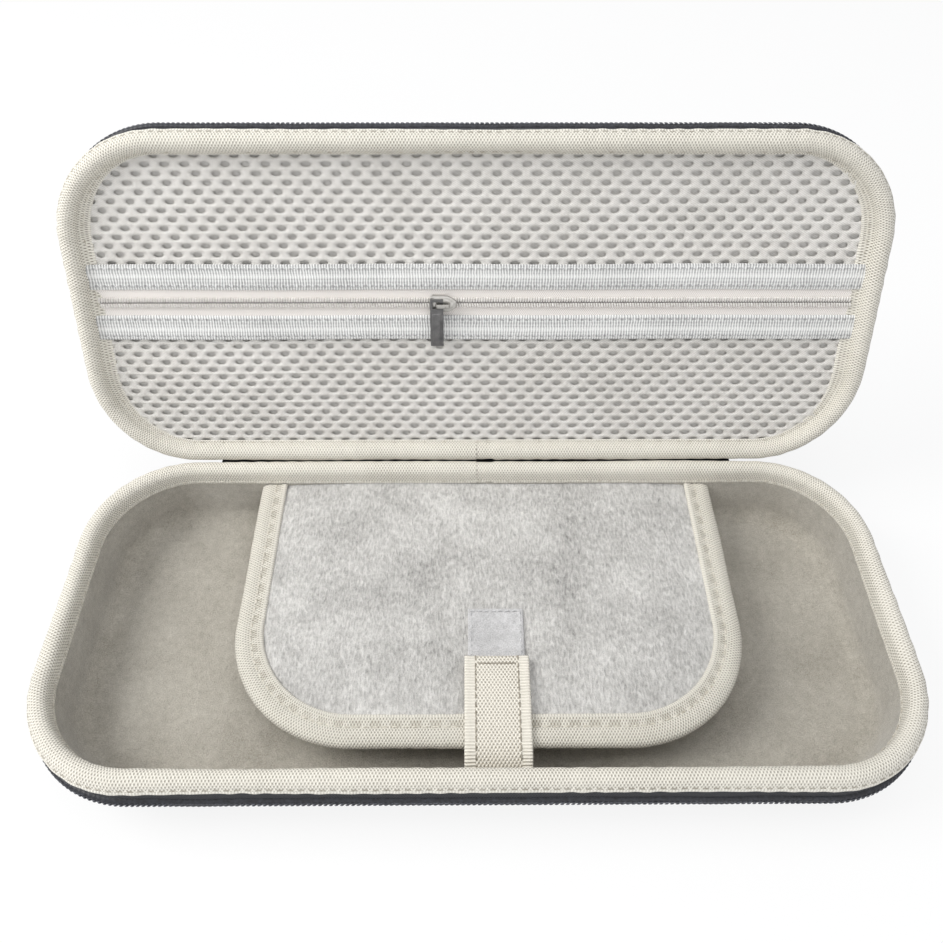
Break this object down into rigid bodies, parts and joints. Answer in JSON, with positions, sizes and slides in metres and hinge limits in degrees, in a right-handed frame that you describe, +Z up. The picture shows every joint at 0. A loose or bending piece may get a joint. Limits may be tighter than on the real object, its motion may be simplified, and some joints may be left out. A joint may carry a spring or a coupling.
{
  "type": "zip-up console case",
  "caption": "Soft zip-up carrying case for a handheld game console, shown open, with a zipped mesh pocket in the lid and a padded inner flap held by a strap.",
  "frame": {"origin": "centre of the base's flat underside, on the table", "axes": "+X along the width to the viewer's right, +Y to the hinge at the rear, +Z up; the front faces -Y"},
  "size_m": [0.31, 0.1998, 0.1575],
  "materials": {
    "shell_cover": "woven cover bonded to moulded foam",
    "plush_lining": "short pile plush",
    "cream_binding": "plain woven binding",
    "dark_zip_tape": "woven zip tape",
    "dark_zip_coil": "sewn coil",
    "spine_fabric": "plain woven",
    "mesh_fabric": "knitted mesh",
    "silver_ribbon": "ribbed woven ribbon",
    "white_zip_tape": "woven zip tape",
    "white_zip_coil": "coil chain",
    "slider_metal": "plated",
    "pull_metal": "dark plated",
    "flap_plush": "short pile plush over foam",
    "webbing": "woven webbing",
    "hook_tape": "hook and loop"
  },
  "bodies": {
    "base": {"base_shell": "shell_cover", "base_lining": "plush_lining", "base_rim_binding": "cream_binding", "base_zip_tape": "dark_zip_tape", "base_zip_coil": "dark_zip_coil", "base_spine_leaf": "spine_fabric", "main_slider_left": "pull_metal", "main_slider_right": "pull_metal", "inner_flap": "flap_plush", "flap_binding": "cream_binding", "hook_patch": "hook_tape", "strap_loop_pad": "hook_tape", "strap": "webbing"},
    "lid": {"lid_shell": "shell_cover", "lid_lining": "plush_lining", "lid_rim_binding": "cream_binding", "lid_zip_tape": "dark_zip_tape", "lid_zip_coil": "dark_zip_coil", "lid_spine_leaf": "spine_fabric", "mesh_upper": "mesh_fabric", "mesh_lower": "mesh_fabric", "pocket_tape_upper": "white_zip_tape", "pocket_tape_lower": "white_zip_tape", "pocket_coil_upper": "white_zip_coil", "pocket_coil_lower": "white_zip_coil", "pocket_ribbon_upper": "silver_ribbon", "pocket_ribbon_lower": "silver_ribbon"},
    "pocket_slider": {"pocket_slider": "slider_metal"},
    "pocket_pull": {"pocket_pull": "pull_metal"},
    "main_pull_left": {"main_pull_left": "pull_metal"},
    "main_pull_right": {"main_pull_right": "pull_metal"}
  },
  "joints": [
    {"name": "lid_hinge", "type": "hinge", "parent": "base", "child": "lid", "pos_m": [0, 0.0655, 0.034], "axis": [1, 0, 0], "range_deg": [0, 110]},
    {"name": "pocket_zip", "type": "slide", "parent": "lid", "child": "pocket_slider", "axis": [1, 0, 0], "range_m": [-0.115, 0.15]},
    {"name": "pocket_pull_swing", "type": "hinge", "parent": "pocket_slider", "child": "pocket_pull", "pos_m": [-0.0154, 0.09017, 0.09739], "axis": [0, -0.9397, 0.342], "range_deg": [-85, 15]},
    {"name": "main_pull_left_swing", "type": "hinge", "parent": "base", "child": "main_pull_left", "pos_m": [-0.1194, 0.06836, 0.021], "axis": [0, 1, 0], "range_deg": [-5, 80]},
    {"name": "main_pull_right_swing", "type": "hinge", "parent": "base", "child": "main_pull_right", "pos_m": [0.1194, 0.06836, 0.021], "axis": [0, 1, 0], "range_deg": [-80, 5]}
  ]
}
